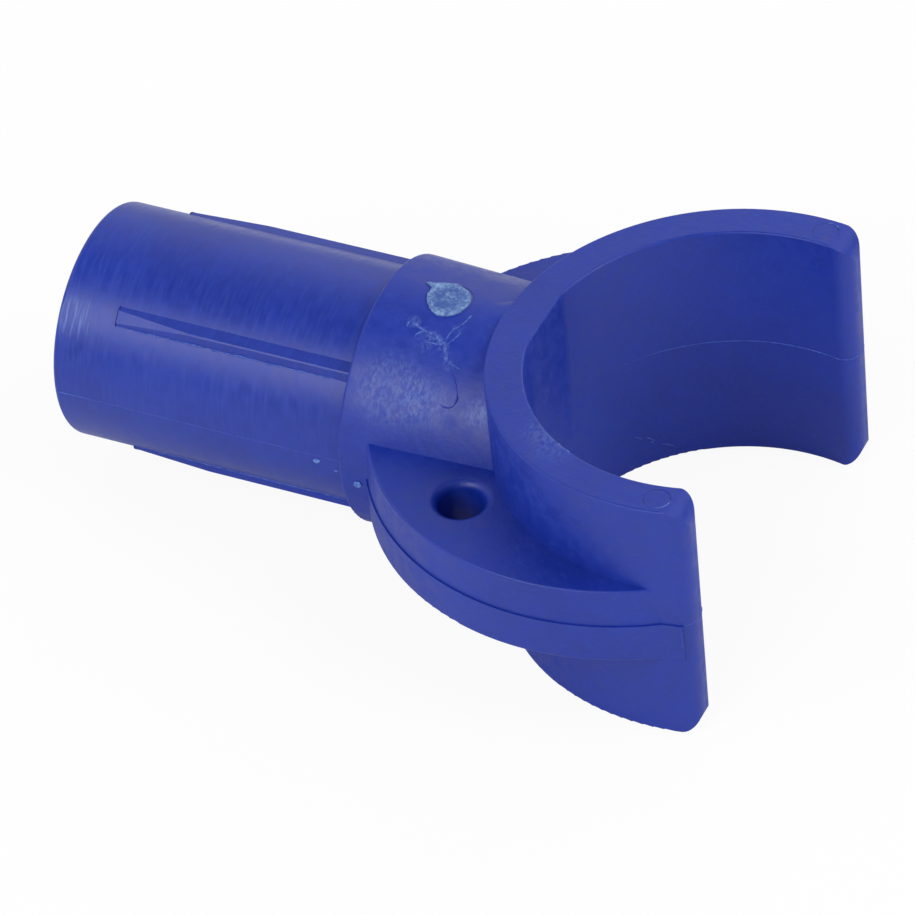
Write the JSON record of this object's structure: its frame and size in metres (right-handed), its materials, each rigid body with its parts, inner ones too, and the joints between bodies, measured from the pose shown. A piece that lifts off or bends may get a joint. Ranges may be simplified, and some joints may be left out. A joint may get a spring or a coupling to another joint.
{
  "type": "pole yoke for a manual pool vacuum head",
  "caption": "Moulded yoke that joins a pool pole to a vacuum head or hose cuff: ribbed hollow spigot, collar, C-shaped snap clip and a flat round flange with a hole in each wing.",
  "frame": {"origin": "centre of the snap clip's bore, at mid height, on the clip's axis", "axes": "+Z along the clip's axis, +X out of the clip's mouth and away from the pole, +Y towards the far arm"},
  "size_m": [0.0859, 0.061, 0.0329],
  "materials": {
    "yoke_plastic": "satin",
    "spigot_plastic": "semi-gloss",
    "pin_plastic": "whitened, rough",
    "dowel_plastic": "satin"
  },
  "bodies": {
    "root": {"clip_upper_half": "yoke_plastic", "clip_lower_half": "yoke_plastic", "pole_spigot": "spigot_plastic", "spigot_lock_pin": "pin_plastic", "arm_dowel_near": "dowel_plastic", "arm_dowel_far": "dowel_plastic"}
  },
  "joints": []
}
